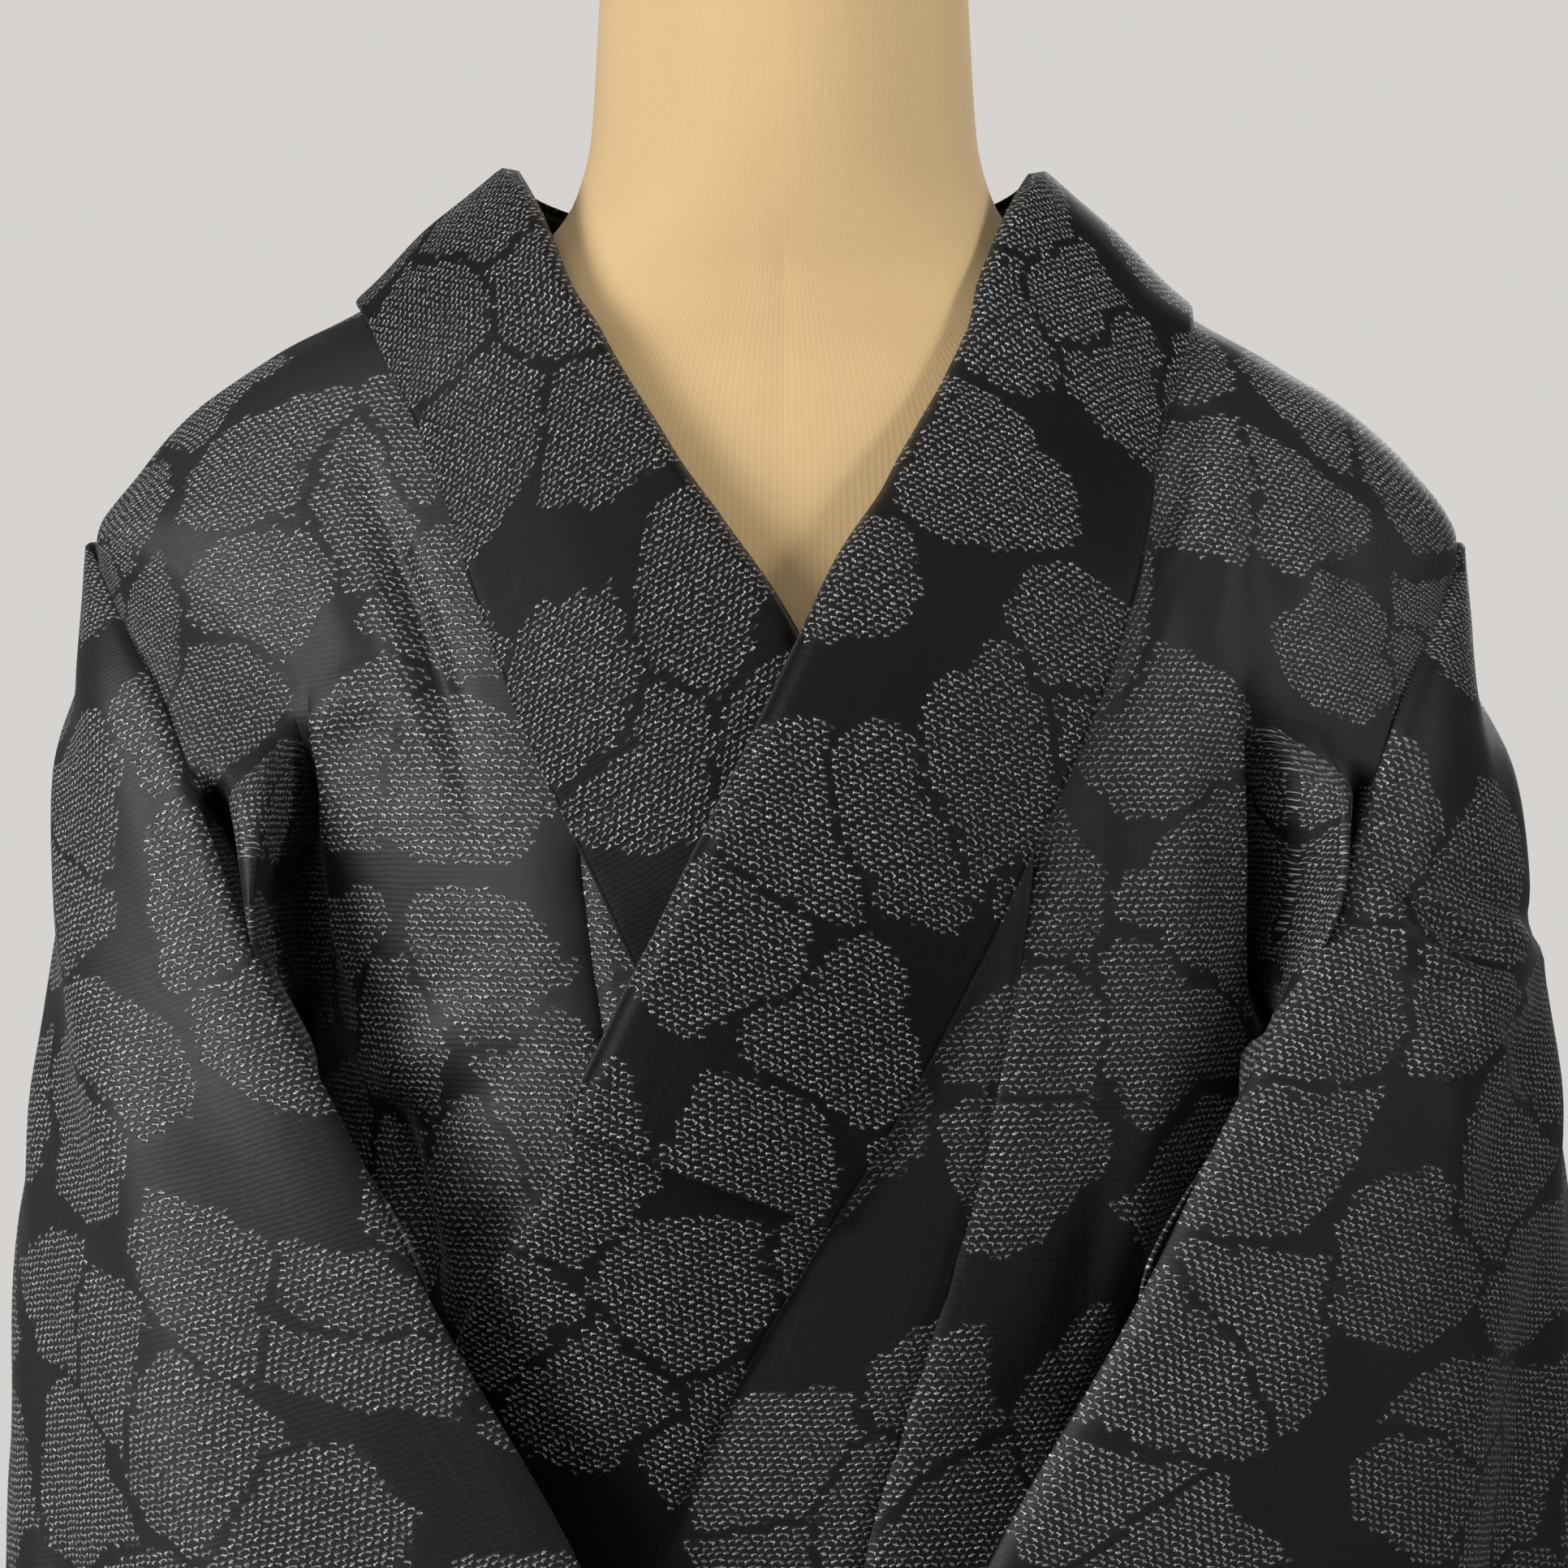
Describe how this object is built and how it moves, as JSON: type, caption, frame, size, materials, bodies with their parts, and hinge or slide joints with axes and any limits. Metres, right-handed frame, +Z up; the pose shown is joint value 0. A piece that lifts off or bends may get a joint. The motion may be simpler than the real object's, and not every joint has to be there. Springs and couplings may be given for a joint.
{
  "type": "kimono on a dress form",
  "caption": "Full-length kimono worn closed, left front over right, on a limbless dress form with a pole and a round base; sleeves drawn forward over the front.",
  "frame": {"origin": "centre of the stand base's underside, on the floor", "axes": "+Z up, front of the garment faces -Y, +X is the wearer's left"},
  "size_m": [0.4784, 0.336, 1.678],
  "materials": {
    "kimono_cloth": "near-black navy fine weave with irregular rounded patches of silver-grey flecks in staggered rows, soft sheen",
    "collar_cloth": "the same cloth folded double, grain along the collar",
    "form_jersey": "matt peach-cream fine ribbed jersey",
    "stand_metal": "satin grey tube",
    "stand_base": "satin grey powder coat"
  },
  "bodies": {
    "root": {"body_left": "kimono_cloth", "body_right": "kimono_cloth", "okumi_left": "kimono_cloth", "okumi_right": "kimono_cloth", "collar": "collar_cloth", "over_collar": "collar_cloth", "sleeve_left": "kimono_cloth", "sleeve_right": "kimono_cloth", "form_torso": "form_jersey", "form_pole": "stand_metal", "form_base": "stand_base"}
  },
  "joints": []
}
